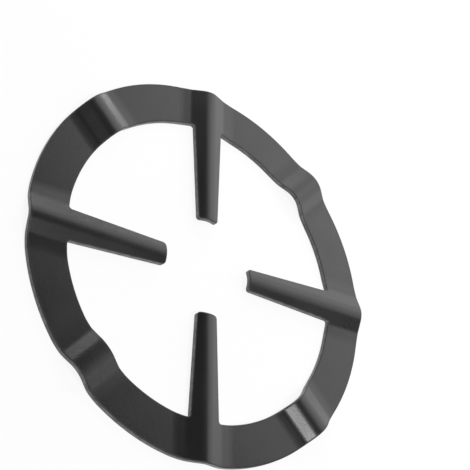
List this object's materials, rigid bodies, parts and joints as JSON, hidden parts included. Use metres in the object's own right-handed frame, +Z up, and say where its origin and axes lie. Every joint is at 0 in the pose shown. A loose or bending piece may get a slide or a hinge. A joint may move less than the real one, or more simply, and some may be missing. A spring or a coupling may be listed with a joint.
{
  "type": "gas hob reducer ring",
  "caption": "Flat round ring of pressed enamelled steel with tapering fingers towards its centre and raised ridges, so that a small pot can stand over a gas burner.",
  "frame": {"origin": "centre of the ring, on the flat underside of its rim", "axes": "+Z up through the ring's centre, on the side that the ridges stand out of; +X along the ridge of one finger, +Y along the ridge of the next"},
  "size_m": [0.145, 0.145, 0.0051],
  "materials": {
    "enamel": "semi-gloss black vitreous enamel on steel sheet"
  },
  "bodies": {
    "root": {"reducer_ring": "enamel"}
  },
  "joints": []
}
